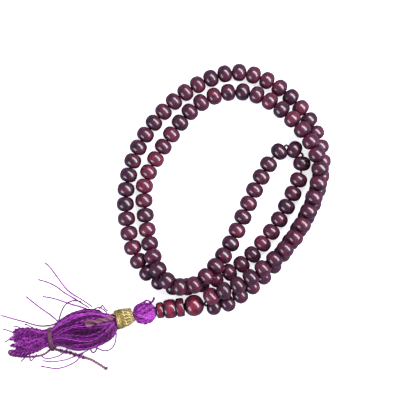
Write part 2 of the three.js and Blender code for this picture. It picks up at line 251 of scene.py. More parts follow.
def skin(name, rings, finish, ring_round=False):
    """A mesh of closed tubes from an array of (tubes, rings, points, 3). Neighbouring rings are
    joined by quads. A tube's rings come round to its first one, or else its two ends are closed
    by fans to their middles. UV u is the share of the way round a ring and v the share along."""
    tubes, rows, sides = rings.shape[:3]
    places = rings.reshape(-1, 3)
    tube, row, column = np.meshgrid(np.arange(tubes), np.arange(rows - (not ring_round)), np.arange(sides),
                                    indexing="ij")
    tube, row, column = tube.ravel(), row.ravel(), column.ravel()
    next_row, next_column = (row + 1) % rows, (column + 1) % sides
    first = tube * rows
    this_ring, next_ring = (first + row) * sides, (first + next_row) * sides
    quads = np.stack([this_ring + column, this_ring + next_column,
                      next_ring + next_column, next_ring + column], axis=1)
    u = np.stack([column, column + 1, column + 1, column], axis=1) / sides
    v = np.stack([row, row, row + 1, row + 1], axis=1) / rows
    corners, totals = quads.ravel(), np.full(len(quads), 4)
    uv = np.stack([u.ravel(), v.ravel()], axis=1)
    if not ring_round:
        middles = np.concatenate([rings[:, 0].mean(axis=1), rings[:, -1].mean(axis=1)])
        tube, column = np.repeat(np.arange(tubes), sides), np.tile(np.arange(sides), tubes)
        near, far = tube * rows * sides, (tube * rows + rows - 1) * sides
        after = (column + 1) % sides
        caps = np.concatenate([
            np.stack([len(places) + tube, near + after, near + column], axis=1),
            np.stack([len(places) + tubes + tube, far + column, far + after], axis=1)])
        places = np.concatenate([places, middles])
        corners = np.concatenate([corners, caps.ravel()])
        totals = np.concatenate([totals, np.full(len(caps), 3)])
        uv = np.concatenate([uv, np.tile((0.5, 0.0), (caps.size // 2, 1)),
                             np.tile((0.5, 1.0), (caps.size // 2, 1))])
    mesh = bpy.data.meshes.new(name)
    mesh.vertices.add(len(places))
    mesh.vertices.foreach_set("co", places.astype(np.float32).ravel())
    mesh.loops.add(len(corners))
    mesh.loops.foreach_set("vertex_index", corners.astype(np.int32))
    mesh.polygons.add(len(totals))
    mesh.polygons.foreach_set("loop_start", np.concatenate([[0], np.cumsum(totals)[:-1]]).astype(np.int32))
    mesh.update(calc_edges=True)
    mesh.uv_layers.new(name="round_and_along").uv.foreach_set("vector", uv.astype(np.float32).ravel())
    mesh.shade_smooth()
    mesh.materials.append(finish)
    piece = bpy.data.objects.new(name, mesh)
    bpy.context.scene.collection.objects.link(piece)
    return piece


def mark(piece, name, values):
    """Writes a number, or a place, for each point of the piece. Points past those given, which
    close its ends, take the last value."""
    values = np.asarray(values, np.float32)
    missing = len(piece.data.vertices) - len(values)
    values = np.concatenate([values, np.repeat(values[-1:], missing, axis=0)])
    kind, field = ("FLOAT", "value") if values.ndim == 1 else ("FLOAT_VECTOR", "vector")
    piece.data.attributes.new(name, kind, "POINT").data.foreach_set(field, values.ravel())


def new_group(name, inputs, outputs):
    """An empty shader group with these sockets, as {name: (kind, value)} and {name: kind}."""
    group = bpy.data.node_groups.new(name, "ShaderNodeTree")
    for socket, (kind, value) in inputs.items():
        made = group.interface.new_socket(socket, in_out="INPUT", socket_type="NodeSocket" + kind)
        if value is not None:
            made.default_value = value
    for socket, kind in outputs.items():
        group.interface.new_socket(socket, in_out="OUTPUT", socket_type="NodeSocket" + kind)
    return group, group.nodes.new("NodeGroupInput").outputs, group.nodes.new("NodeGroupOutput").inputs


def maths(tree, operation, a, b=0.0, c=0.0):
    """The output of a Math node."""
    return put(tree, "ShaderNodeMath", {0: a, 1: b, 2: c}, operation=operation).outputs[0]


def mixed(tree, share, a, b):
    """The output of a colour mix."""
    return put(tree, "ShaderNodeMix", {"Factor": share, "A": a, "B": b}, data_type="RGBA").outputs["Result"]


def cloud(tree, place, scale, detail):
    """The strength of a noise at a place, from 0 to 1."""
    noise = put(tree, "ShaderNodeTexNoise", {"Vector": place, "Scale": scale, "Detail": detail})
    return noise.outputs["Fac"]


def spun_yarn_group():
    """Spun fibre: slanting ply stripes that follow the thread's own UV, fine hairs along it, and a slow
    change of dye.
    The stripes raise the bump and also lighten the colour on each ply's crest and darken it in the grooves
    between plies, which is painted highlight and shade. Turns is how many times the plies go round per unit
    of v."""
    group, given, made = new_group(
        "spun_yarn",
        {"Shadow": ("Color", None), "Body": ("Color", None), "Light": ("Color", None),
         "Tone": ("Float", 0.5), "Turns": ("Float", 20.0)},
        {"Color": "Color", "Roughness": "Float", "Height": "Float"})
    uv = put(group, "ShaderNodeSeparateXYZ", {0: put(group, "ShaderNodeUVMap").outputs[0]}).outputs
    phase = maths(group, "ADD", uv["X"], maths(group, "MULTIPLY", uv["Y"], given["Turns"]))
    phase = maths(group, "MULTIPLY_ADD", given["Tone"], 31.0, phase)
    ply_relief_and_shade = maths(group, "SINE", maths(group, "MULTIPLY", phase, 4 * math.pi))
    ply_relief_and_shade = maths(group, "MULTIPLY_ADD", ply_relief_and_shade, 0.5, 0.5)
    place = put(group, "ShaderNodeTexCoord").outputs["Object"]
    hairs = cloud(group, place, 4200.0, 2.0)
    dye = cloud(group, place, 420.0, 3.0)
    # Painted highlight and shade: the ply stripe lightens the colour on the crests and darkens it in the
    # grooves.
    share = maths(group, "MULTIPLY_ADD", ply_relief_and_shade, 0.30, given["Tone"])
    share = maths(group, "ADD", share, maths(group, "MULTIPLY_ADD", hairs, 0.5, -0.25))
    share = maths(group, "ADD", share, maths(group, "MULTIPLY_ADD", dye, 0.6, -0.40))
    low = put(group, "ShaderNodeMapRange", {"Value": share, "From Min": 0.0, "From Max": 0.5}).outputs[0]
    high = put(group, "ShaderNodeMapRange", {"Value": share, "From Min": 0.5, "From Max": 1.15}).outputs[0]
    colour = mixed(group, high, mixed(group, low, given["Shadow"], given["Body"]), given["Light"])
    group.links.new(colour, made["Color"])
    group.links.new(maths(group, "MULTIPLY_ADD", hairs, 0.30, 0.30), made["Roughness"])
    group.links.new(maths(group, "MULTIPLY_ADD", hairs, 0.35, ply_relief_and_shade), made["Height"])
    return group


SPUN_YARN = spun_yarn_group()


def yarn_finish(name, shadow, body, light, turns, bump, **sockets):
    """A yarn of these colours. The tone attribute of the piece sets how light each thread is."""
    finish, tree, shader = new_finish(name, **sockets)
    tone = put(tree, "ShaderNodeAttribute", attribute_name="tone").outputs["Fac"]
    yarn = put(tree, "ShaderNodeGroup", node_tree=SPUN_YARN)
    yarn.inputs["Shadow"].default_value = shadow
    yarn.inputs["Body"].default_value = body
    yarn.inputs["Light"].default_value = light
    yarn.inputs["Turns"].default_value = turns
    tree.links.new(tone, yarn.inputs["Tone"])
    tree.links.new(yarn.outputs["Color"], shader.inputs["Base Color"])
    tree.links.new(yarn.outputs["Roughness"], shader.inputs["Roughness"])
    relief = put(tree, "ShaderNodeBump", {"Height": yarn.outputs["Height"], "Strength": bump,
                                          "Distance": 0.05 * MM})
    tree.links.new(relief.outputs[0], shader.inputs["Normal"])
    return finish


def thread_piece(name, lines, radius, sides, finish, tones, lay=None):
    """A piece made of a thread along each line. Each thread has its own tone, or all have one."""
    rings = thread_rings(lines, radius, sides, lay)
    piece = skin(name, rings, finish)
    mark(piece, "tone", np.repeat(np.broadcast_to(tones, len(rings)), rings.shape[1] * sides))
    return piece


knots = strand_knots()
cord_line = evenly(np.vstack([STRAND_ROUTE[:2], knots, STRAND_ROUTE[-2:]]), CORD_STEP)
CORD_FINISH = yarn_finish("dark_cotton", (0.012, 0.004, 0.005, 1), (0.045, 0.016, 0.018, 1),
                          (0.11, 0.05, 0.05, 1), 300.0, 0.6, Sheen_Weight=0.2)
stringing_cord = thread_piece("stringing_cord_yarn", cord_line[None], CORD_DIAMETER / 2, 10, CORD_FINISH,
                              0.45, CORD_LAY)
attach(stringing_cord, "strand")
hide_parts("stringing_cord")


# ---------------------------------------------------------------------------------------------
# The beads: 108 small rosewood beads, turned a little shorter than they are wide, drilled end to
# end, stained red-brown and dipped in gloss lacquer. Each one's grain runs its own way.

BEAD_RADIUS = 4.08 * MM
BEAD_HALF_LENGTH = 3.41 * MM
BEAD_BORE = 0.78 * MM
BEAD_FULLNESS = 2.35
BEAD_SIDES = 36
BEAD_ROWS = 22
SINGLE_BEADS = (1, 2, 9, 15, 21, 22, 29, 36, 37, 38, 39, 40, 41, 50, 51, 52, 53, 60, 66, 67, 74, 81,
                87, 95, 101, 107, 108)


def bead_profile(radius, half_length, bore, fullness, rows):
    """The outline of a bored bead as (r, y): |r/R|^p + |y/H|^p = 1 from one mouth to the other,
    and back inside along the bore, each mouth broken by a small round edge."""
    angle = np.linspace(0, np.pi, rows + 2)[1:-1]
    r = radius * np.sin(angle) ** (2 / fullness)
    y = -half_length * np.sign(np.cos(angle)) * np.abs(np.cos(angle)) ** (2 / fullness)
    outside = r > 1.35 * bore
    r, y = r[outside], y[outside]
    lip = np.array([(1.12 * bore, 0.995), (bore, 0.93), (bore, 0.5)])
    mouth = np.stack([lip[:, 0], -half_length * lip[:, 1]], axis=1)[::-1]
    return np.vstack([mouth, np.stack([r, y], axis=1), mouth[::-1] * (1, -1)])


def turned_rings(profile, sides, centre, axis):
    """A profile spun about an axis: the point (r, y) goes to centre + y a + r (s cos t + u sin t),
    with a along the axis and s level."""
    ahead = axis / np.linalg.norm(axis)
    side = np.cross((0, 0, 1.0), ahead)
    side /= np.linalg.norm(side)
    above = np.cross(ahead, side)
    turn = 2 * np.pi * np.arange(sides) / sides
    spoke = side * np.cos(turn)[:, None] + above * np.sin(turn)[:, None]
    return centre + profile[:, 1, None, None] * ahead + profile[:, 0, None, None] * spoke


def turned_wood_group():
    """Rosewood seen through lacquer: broad bands of heartwood, fine dark streaks along the grain
    and short pores. Place is in millimetres, with its X along the grain."""
    group, given, made = new_group(
        "turned_wood",
        {"Place": ("Vector", None), "Tone": ("Float", 0.5), "Dark": ("Color", None),
         "Body": ("Color", None), "Red": ("Color", None)},
        {"Color": "Color", "Roughness": "Float", "Height": "Float", "Lacquer": "Float"})

    def streaks(along, across, scale, detail):
        stretched = put(group, "ShaderNodeMapping",
                        {"Vector": given["Place"], "Scale": (along, across, across)})
        return cloud(group, stretched.outputs[0], scale, detail)

    bands = streaks(0.22, 0.55, 1.0, 3.0)
    lines = streaks(0.10, 1.0, 3.2, 4.0)
    pores = streaks(0.35, 1.8, 4.5, 2.0)
    wear = streaks(1.0, 1.0, 0.9, 5.0)
    share = maths(group, "ADD", maths(group, "MULTIPLY_ADD", bands, 1.5, -0.75), given["Tone"])
    share = maths(group, "ADD", share, maths(group, "MULTIPLY_ADD", lines, 1.0, -0.5))
    low = put(group, "ShaderNodeMapRange", {"Value": share, "From Min": 0.0, "From Max": 0.5}).outputs[0]
    high = put(group, "ShaderNodeMapRange", {"Value": share, "From Min": 0.5, "From Max": 1.0}).outputs[0]
    colour = mixed(group, high, mixed(group, low, given["Dark"], given["Body"]), given["Red"])
    pore = put(group, "ShaderNodeMapRange", {"Value": pores, "From Min": 0.62, "From Max": 0.70}).outputs[0]
    colour = mixed(group, maths(group, "MULTIPLY", pore, 0.7), colour, given["Dark"])
    group.links.new(colour, made["Color"])
    group.links.new(maths(group, "MULTIPLY_ADD", wear, 0.25, 0.22), made["Roughness"])
    group.links.new(maths(group, "MULTIPLY_ADD", pore, -1.0, lines), made["Height"])
    lacquer = put(group, "ShaderNodeMapRange",
                  {"Value": wear, "From Min": 0.30, "From Max": 0.42, "To Min": 0.7})
    group.links.new(lacquer.outputs[0], made["Lacquer"])
    return group


TURNED_WOOD = turned_wood_group()


def wood_finish(name, dark, body, red):
    """Lacquered rosewood in these three colours, read at each piece's own place in its log."""
    finish, tree, shader = new_finish(name, Coat_Roughness=0.14, Coat_IOR=1.52, Specular_IOR_Level=0.35)
    wood = put(tree, "ShaderNodeGroup", node_tree=TURNED_WOOD)
    wood.inputs["Dark"].default_value = dark
    wood.inputs["Body"].default_value = body
    wood.inputs["Red"].default_value = red
    log = put(tree, "ShaderNodeAttribute", attribute_name="log_place").outputs["Vector"]
    tone = put(tree, "ShaderNodeAttribute", attribute_name="tone").outputs["Fac"]
    tree.links.new(log, wood.inputs["Place"])
    tree.links.new(tone, wood.inputs["Tone"])
    tree.links.new(wood.outputs["Color"], shader.inputs["Base Color"])
    tree.links.new(wood.outputs["Roughness"], shader.inputs["Roughness"])
    tree.links.new(wood.outputs["Lacquer"], shader.inputs["Coat Weight"])
    relief = put(tree, "ShaderNodeBump", {"Height": wood.outputs["Height"], "Strength": 0.25,
                                          "Distance": 0.04 * MM})
    tree.links.new(relief.outputs[0], shader.inputs["Normal"])
    return finish


ROSEWOOD = wood_finish("lacquered_rosewood", (0.0080, 0.0034, 0.0095, 1), (0.060, 0.0095, 0.0280, 1),
                       (0.185, 0.0155, 0.0370, 1))


def lay_grain(piece, rings, centre, tone, chance):
    """Gives a turned piece its own place in the log: its points about its centre, turned any way
    and moved far off, in millimetres. The tone is one number, or one for each ring."""
    turn, _ = np.linalg.qr(chance.normal(size=(3, 3)))
    log_place = ((rings.reshape(-1, 3) - centre) / MM) @ turn + chance.uniform(-500, 500, 3)
    mark(piece, "log_place", log_place)
    mark(piece, "tone", np.repeat(np.broadcast_to(tone, rings.shape[0]), rings.shape[1]))


bead_chance = np.random.default_rng(108)
bead_runs = {}
for number in range(1, BEAD_COUNT + 1):
    if number in SINGLE_BEADS:
        bead_runs[number] = f"bead_{number:03d}"
    else:
        first = max(single for single in SINGLE_BEADS if single < number) + 1
        last = min(single for single in SINGLE_BEADS if single > number) - 1
        bead_runs[number] = f"beads_{first:03d}_to_{last:03d}"

for number, node in bead_runs.items():
    near, far = knots[number - 1], knots[number]
    centre, axis = (near + far) / 2, far - near
    radius = BEAD_RADIUS * bead_chance.uniform(0.985, 1.012)
    half_length = BEAD_HALF_LENGTH * bead_chance.uniform(0.985, 1.0)
    profile = bead_profile(radius, half_length, BEAD_BORE, BEAD_FULLNESS, BEAD_ROWS)
    rings = turned_rings(profile, BEAD_SIDES, centre, axis)
    bead = skin(f"turned_bead_{number:03d}", rings[None], ROSEWOOD, ring_round=True)
    lay_grain(bead, rings, centre, float(np.clip(bead_chance.normal(0.44, 0.12), 0.15, 0.70)), bead_chance)
    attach(bead, node if number in SINGLE_BEADS else "strand")
    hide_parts(node)


# ---------------------------------------------------------------------------------------------
# The guru bead and three spacers: one large bead where the strand's two ends meet, then a disc, a
# barrel and a flared collar, turned from redder rosewood, lacquered, and threaded on a thick cord.

GURU_CENTRE = MM * np.array((13.5, -42.1, 4.95))
STACK_AXIS = np.array((-22.8, -3.2, -0.3)) / np.linalg.norm((-22.8, -3.2, -0.3))
GURU_RADIUS = 5.0 * MM
GURU_HALF_LENGTH = 4.55 * MM
GURU_BORE = 1.3 * MM
GURU_FULLNESS = 2.1
GURU_ROWS = 34
STACK_BORE = 1.0 * MM
STACK_CORD_RADIUS = 0.8 * MM
STACK_CORD_LAY = 3.0 * MM
SPACER_SIDES = 56
SPACERS = {
    # name: (from, to, radius at the ends, radius at the waist, how square its shoulders are)
    "guru_disc": (4.6, 8.25, 3.3, 4.35, 3.2),
    "guru_barrel": (8.33, 13.95, 2.9, 4.45, 2.7),
    "guru_collar": (14.03, 17.5, 2.5, 3.75, 2.7),
}


def spacer_profile(start, end, end_radius, waist_radius, squareness):
    """The outline of a spacer as (r, y): r = end + (waist - end) (1 - |2s - 1|^p)^(1/p) along its
    wall, s from 0 to 1, with its two shoulders rounded over to the bore."""
    s = 0.5 - 0.5 * np.cos(np.pi * np.linspace(0, 1, 22))
    swell = np.clip(1 - np.abs(2 * s - 1) ** squareness, 0, 1) ** (1 / squareness)
    wall = np.stack([end_radius + (waist_radius - end_radius) * swell, start + (end - start) * s], axis=1)
    edge = 0.35
    shoulder = np.array([(STACK_BORE / MM, start + 0.7), (STACK_BORE / MM, start + 0.42),
                         (end_radius - 2 * edge, start), (end_radius - edge, start + 0.02)])
    far_shoulder = shoulder[::-1] * (1, -1) + (0, start + end)
    return MM * np.vstack([shoulder, wall, far_shoulder])


def end_shade_tone(outline):
    """Painted shade: the tone falls from 0.85 at a piece's waist to 0.1 at its ends, by the square of the
    distance along it, so each piece darkens where it rounds off towards its neighbours."""
    reach = np.abs(outline[:, 1] - outline[:, 1].mean())
    return 0.85 - 0.75 * (reach / reach.max()) ** 2


RED_ROSEWOOD = wood_finish("red_rosewood", (0.008, 0.0030, 0.0095, 1), (0.058, 0.0070, 0.0220, 1),
                           (0.230, 0.014, 0.0330, 1))
guru_chance = np.random.default_rng(9)
guru_profile = bead_profile(GURU_RADIUS, GURU_HALF_LENGTH, GURU_BORE, GURU_FULLNESS, GURU_ROWS)
guru_rings = turned_rings(guru_profile, SPACER_SIDES, GURU_CENTRE, STACK_AXIS)
guru = skin("turned_guru_bead", guru_rings[None], RED_ROSEWOOD, ring_round=True)
# The guru bead's tone darkens towards its ends: painted shade.
lay_grain(guru, guru_rings, GURU_CENTRE, end_shade_tone(guru_profile), guru_chance)
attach(guru, "guru_bead")
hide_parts("guru_bead")

for node, sizes in SPACERS.items():
    spacer_outline = spacer_profile(*sizes)
    spacer_rings = turned_rings(spacer_outline, SPACER_SIDES, GURU_CENTRE, STACK_AXIS)
    spacer = skin("turned_" + node, spacer_rings[None], RED_ROSEWOOD, ring_round=True)
    # Each spacer's tone darkens towards its ends: painted shade.
    lay_grain(spacer, spacer_rings, GURU_CENTRE, end_shade_tone(spacer_outline), guru_chance)
    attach(spacer, node)
    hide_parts(node)

stack_line = GURU_CENTRE + MM * np.linspace(5.1, 17.3, 60)[:, None] * STACK_AXIS
stack_cord = thread_piece("pendant_cord_yarn", stack_line[None], STACK_CORD_RADIUS, 12, CORD_FINISH,
                          0.4, STACK_CORD_LAY)
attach(stack_cord, "pendant")
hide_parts("pendant_cord")


# ---------------------------------------------------------------------------------------------
# The tassel's head: a ball of crossing silk threads over a wound core, dotted with small knots,
# with a tuft of the same thread left standing on its far side.

HEAD_CENTRE = MM * np.array((-9.2, -45.6, 4.85))
HEAD_RADIUS = 4.65 * MM
HEAD_LENGTHENING = 1.13
HEAD_FLATTENING = 0.98
HEAD_AXIS = np.array((-0.985, -0.16, -0.02)) / np.linalg.norm((-0.985, -0.16, -0.02))
HEAD_THREADS = 40
HEAD_THREAD_RADIUS = 0.26 * MM
HEAD_THREAD_STEPS = 64
HEAD_KNOTS = 34
KNOT_RING = 0.52 * MM
KNOT_THREAD_RADIUS = 0.25 * MM
TUFT_THREAD_RADIUS = 0.34 * MM
SILK_LAY = 1.7 * MM

SILK_SOCKETS = {"Sheen_Weight": 0.05, "Sheen_Roughness": 0.35, "Sheen_Tint": (1.0, 0.62, 1.0, 1),
                "Specular_IOR_Level": 0.5, "Specular_Tint": (1.0, 0.40, 1.0, 1), "Anisotropic": 0.4}
SILK = yarn_finish("purple_silk", (0.013, 0.0006, 0.014, 1), (0.105, 0.004, 0.112, 1),
                   (0.54, 0.085, 0.60, 1), 9.0, 0.8, **SILK_SOCKETS)


def ball_places(polar, turn, height):
    """Places on the head: at an angle from its axis, an angle round it and a height over its skin.
    The point is centre + (R + height) (k a cos p + (s cos t + u sin t) sin p), flattened a
    little and kept above the table."""
    side = np.cross((0, 0, 1.0), HEAD_AXIS)
    side /= np.linalg.norm(side)
    above = np.cross(HEAD_AXIS, side)
    spoke = side * np.cos(turn)[..., None] + above * np.sin(turn)[..., None]
    out = HEAD_LENGTHENING * HEAD_AXIS * np.cos(polar)[..., None] + spoke * np.sin(polar)[..., None]
    place = HEAD_CENTRE + out * (HEAD_RADIUS + height)[..., None] * (1, 1, HEAD_FLATTENING)
    place[..., 2] = np.maximum(place[..., 2], 1.1 * HEAD_THREAD_RADIUS)
    return place


head_chance = np.random.default_rng(31)
share = np.linspace(0, 1, HEAD_THREAD_STEPS)[None]
start_turn = np.arange(HEAD_THREADS)[:, None] + head_chance.uniform(-0.25, 0.25, (HEAD_THREADS, 1))
start_turn = 2 * np.pi * start_turn / HEAD_THREADS
head_lines = []
for lean in (-1, 1):
    sway = head_chance.uniform(0, 2 * np.pi, (HEAD_THREADS, 1))
    turn = start_turn + lean * 1.15 * (share - 0.5) + 0.09 * np.sin(7 * share + sway)
    polar = np.broadcast_to(0.30 + (math.pi - 0.72) * share, turn.shape)
    over = 0.16 * MM * np.sin(9 * np.pi * share + lean * 0.5 * np.pi + 0.5 * sway)
    head_lines.append(ball_places(polar, turn, over - 0.05 * MM))
head_lines = np.concatenate(head_lines)
# The head's threads take tones near 0.72, spread at random, against about 0.4 on the skirt: lighter all
# over, a painted highlight on the same silk.
head_tones_with_highlight = np.clip(head_chance.normal(0.72, 0.20, len(head_lines)), 0, 1)
head_threads = thread_piece("head_threads", head_lines, HEAD_THREAD_RADIUS, 7, SILK, head_tones_with_highlight)
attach(head_threads, "tassel_head")
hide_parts("tassel_head")

# The core under the threads, and the small knots: each a ring of thread round a stub.
core_polar, core_turn = np.meshgrid(np.linspace(0.03, math.pi - 0.03, 20), -2 * np.pi * np.arange(28) / 28,
                                    indexing="ij")
core_places = ball_places(core_polar, core_turn, np.full(core_polar.shape, -0.22 * MM))
head_core = skin("head_core", core_places[None], SILK)
mark(head_core, "tone", np.full(20 * 28, 0.22))
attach(head_core, "tassel_head")

knot_polar = np.arccos(head_chance.uniform(-0.66, 0.86, HEAD_KNOTS))
knot_turn = head_chance.uniform(0, 2 * np.pi, HEAD_KNOTS)
loop = 2 * np.pi * np.linspace(0, 1.15, 20)[None]
spin = head_chance.uniform(0, 2 * np.pi, (HEAD_KNOTS, 1))
coil = KNOT_RING / HEAD_RADIUS * head_chance.uniform(0.75, 1.2, (HEAD_KNOTS, 1))
knot_lines = ball_places(knot_polar[:, None] + coil * np.cos(loop + spin),
                         knot_turn[:, None] + coil * np.sin(loop + spin) / np.sin(knot_polar)[:, None],
                         0.30 * MM + 0.10 * MM * loop / np.pi)
head_knots = thread_piece("head_knots", knot_lines, KNOT_THREAD_RADIUS, 7, SILK,
                          head_chance.uniform(0.45, 0.95, HEAD_KNOTS))
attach(head_knots, "tassel_head")

# Two close turns of dark cord between the head and the collar.
neck_share = np.linspace(0, 1, 2)[:, None]
neck_turn = 2 * np.pi * np.linspace(0, 1, 60)[None]
neck_side = np.cross((0, 0, 1.0), HEAD_AXIS)
neck_side /= np.linalg.norm(neck_side)
neck_above = np.cross(HEAD_AXIS, neck_side)
neck_middle = MM * (np.array((-4.35, -44.65, 4.75)) - neck_share * np.array((0.45, 0.07, 0)))
neck_out = neck_side * np.cos(neck_turn)[..., None] + neck_above * np.sin(neck_turn)[..., None]
neck_lines = neck_middle[:, None] + (1.8 + 0.45 * neck_share)[..., None] * MM * neck_out
head_neck = thread_piece("head_neck_turns", neck_lines, 0.4 * MM, 8, CORD_FINISH, 0.3)
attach(head_neck, "tassel_head")

TUFT_ROUTES = MM * np.array([
    [(-10.6, -41.6, 7.0), (-9.4, -40.2, 7.4), (-8.1, -39.6, 7.4), (-6.8, -40.4, 7.2), (-5.6, -40.7, 6.9)],
    [(-9.9, -40.9, 6.4), (-8.6, -40.0, 6.9), (-7.6, -39.9, 7.0), (-6.7, -40.4, 6.8), (-6.1, -41.4, 6.4)],
    [(-7.2, -40.6, 6.9), (-6.2, -40.5, 7.0), (-5.6, -39.9, 7.1), (-5.2, -39.1, 7.2), (-4.9, -38.2, 7.4)],
    [(-6.6, -40.9, 6.6), (-5.8, -40.6, 6.9), (-5.2, -40.0, 7.0), (-4.9, -39.3, 7.1), (-4.6, -38.6, 7.2)]])
tuft_lines = np.stack([smooth_route(route, 8) for route in TUFT_ROUTES])
head_tuft = thread_piece("head_tuft", tuft_lines, TUFT_THREAD_RADIUS, 8, SILK, (0.5, 0.35, 0.4, 0.3),
                         1.6 * MM)
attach(head_tuft, "tassel_head")


# ---------------------------------------------------------------------------------------------
# The gold binding: flat metallic thread worked tightly round the tassel's neck. Next to the head
# it is a fine knitted sleeve, and towards the skirt a few coarse turns that cross at a slant.

BINDING_LINE = MM * np.array([(-14.7, -46.1, 4.7), (-18.4, -47.6, 4.75), (-23.1, -49.0, 4.8)])
BINDING_RADII = MM * np.array([2.7, 3.85, 3.9])


def tassel_spine(line, radii, flats):
    """A tassel's centre line, its level side, its radius and its flattening, at 200 even shares of
    its length. Radii and flattenings run smoothly between the stations given."""
    centre = smooth_route(line, 60)
    stations = np.linspace(0, 1, len(radii))
    ease = smooth_route(np.stack([stations, radii, flats], axis=1), 60)
    shares = np.linspace(0, 1, 200)
    at = np.linspace(0, 1, len(centre))
    middle = np.stack([np.interp(shares, at, centre[:, axis]) for axis in range(3)], axis=1)
    ahead = np.gradient(middle, axis=0)
    side = np.cross((0, 0, 1.0), ahead)
    side /= np.linalg.norm(side, axis=1, keepdims=True)
    radius = np.interp(shares, ease[:, 0], ease[:, 1])
    flat = np.interp(shares, ease[:, 0], ease[:, 2])
    return np.column_stack([shares, middle, side, radius, flat])


def tassel_places(spine, share, turn, depth, lowest):
    """Places in a tassel: at a share of its length, an angle round it, and a depth that is 0 on its
    centre line and 1 on its skin. The point is middle + depth R (side cos t + flat up sin t), and
    it stays above the table."""
    read = [np.interp(share, spine[:, 0], spine[:, column]) for column in range(1, 9)]
    middle, side = np.stack(read[0:3], axis=-1), np.stack(read[3:6], axis=-1)
    reach, flat = read[6] * depth, read[7]
    place = middle + (reach * np.cos(turn))[..., None] * side
    place[..., 2] = np.maximum(place[..., 2] + reach * flat * np.sin(turn), lowest)
    return place


def core_grid(last_share, rows, sides):
    """Two grids for the yarn under a tassel's threads: shares of its length, and angles round it."""
    return np.meshgrid(np.linspace(0, last_share, rows), 2 * np.pi * np.arange(sides) / sides, indexing="ij")


def gold_finish():
    """Metallic thread: gilt foil wound on yarn, brassy or darker from row to row by a random tone, and olive
    in the grooves of its plies, which is painted shade.
    """
    finish, tree, shader = new_finish("gold_thread", Metallic=0.5, Specular_Tint=(1.0, 0.9, 0.6, 1))
    tone = put(tree, "ShaderNodeAttribute", attribute_name="tone").outputs["Fac"]
    yarn = put(tree, "ShaderNodeGroup", node_tree=SPUN_YARN)
    yarn.inputs["Shadow"].default_value = (0.070, 0.045, 0.014, 1)
    yarn.inputs["Body"].default_value = (0.40, 0.30, 0.080, 1)
    yarn.inputs["Light"].default_value = (0.98, 0.88, 0.52, 1)
    yarn.inputs["Turns"].default_value = 26.0
    tree.links.new(tone, yarn.inputs["Tone"])
    tree.links.new(yarn.outputs["Color"], shader.inputs["Base Color"])
    place = put(tree, "ShaderNodeTexCoord").outputs["Object"]
    scuffs = cloud(tree, place, 2600.0, 2.0)
    tree.links.new(maths(tree, "MULTIPLY_ADD", scuffs, 0.45, 0.10), shader.inputs["Roughness"])
    relief = put(tree, "ShaderNodeBump", {"Height": yarn.outputs["Height"], "Strength": 0.8,
                                          "Distance": 0.06 * MM})
    tree.links.new(relief.outputs[0], shader.inputs["Normal"])
    return finish


GOLD = gold_finish()
binding_spine = tassel_spine(BINDING_LINE, BINDING_RADII, np.array([0.95, 0.95, 0.95]))
binding_chance = np.random.default_rng(52)
around = 2 * np.pi * np.linspace(0, 1, 181)[None]

# The knitted sleeve: close rows whose loops wave along the neck and over one another.
SLEEVE_ROWS = 17
row_share = np.linspace(0.03, 0.60, SLEEVE_ROWS)[:, None]
row_phase = np.pi * (np.arange(SLEEVE_ROWS) % 2)[:, None] + binding_chance.normal(0, 0.35, (SLEEVE_ROWS, 1))
wave = 15 * around + row_phase + 0.5 * np.sin(3 * around + row_phase)
sleeve_lines = tassel_places(binding_spine, row_share + 0.028 * np.sin(wave), around,
                             1.0 + 0.07 * np.cos(wave) + 0.02 * np.sin(4 * around + 2 * row_phase), 0)
sleeve = thread_piece("gold_sleeve", sleeve_lines, 0.24 * MM, 6, GOLD,
                      binding_chance.uniform(0.05, 1.0, SLEEVE_ROWS))

# The coarse turns, slanted one way and then the other.
COARSE_TURNS = 18
turn_share = binding_chance.uniform(0.66, 0.90, (COARSE_TURNS, 1))
slant = 0.10 * binding_chance.uniform(0.4, 1.2, (COARSE_TURNS, 1))
slant[::2] *= -1
slant_at = binding_chance.uniform(0, 2 * np.pi, (COARSE_TURNS, 1))
lift = 1.02 + 0.07 * np.arange(COARSE_TURNS)[:, None] / COARSE_TURNS + 0.03 * np.sin(5 * around + slant_at)
turn_share = turn_share + slant * np.cos(around + slant_at)
coarse_lines = tassel_places(binding_spine, turn_share, around, lift, 0)
coarse = thread_piece("gold_coarse_turns", coarse_lines, 0.33 * MM, 7, GOLD,
                      binding_chance.uniform(0.15, 1.0, COARSE_TURNS))

# Frayed ends of the metallic thread, and the bound yarn seen between the turns.
FRAYS = MM * np.array([
    [(-22.6, -52.3, 6.0), (-23.3, -52.6, 6.2), (-23.9, -52.2, 6.3), (-24.5, -51.6, 6.6)],
    [(-22.4, -45.6, 7.2), (-23.3, -45.0, 7.5), (-24.2, -44.6, 7.6), (-24.9, -44.4, 7.6)],
    [(-22.8, -46.1, 7.8), (-23.6, -45.8, 8.2), (-24.6, -45.9, 8.4), (-25.4, -46.3, 8.3)],
    [(-22.2, -53.0, 4.5), (-22.8, -53.9, 4.2), (-23.0, -54.6, 3.9), (-23.0, -55.2, 3.6)]])
fray_lines = np.stack([smooth_route(route, 6) for route in FRAYS])
frays = thread_piece("gold_frays", fray_lines, 0.16 * MM, 6, GOLD, (0.8, 0.7, 0.9, 0.6))
core_share, core_around = core_grid(1.0, 16, 32)
neck_core = skin("neck_core", tassel_places(binding_spine, core_share, core_around, 0.93, 0)[None], SILK)
mark(neck_core, "tone", np.full(core_share.size, 0.12))
for piece in (sleeve, coarse, frays):
    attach(piece, "tassel_head")
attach(neck_core, "tassel_head")
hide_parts("gold_binding")


# ---------------------------------------------------------------------------------------------
# The skirt: silk threads gathered at the binding, belling out and gathered again at the lower
# tie. The threads kept their waves from the hank and lie in locks; a core painted in the silk's shadow
# colour shows dark in the gaps between them, as painted shade.

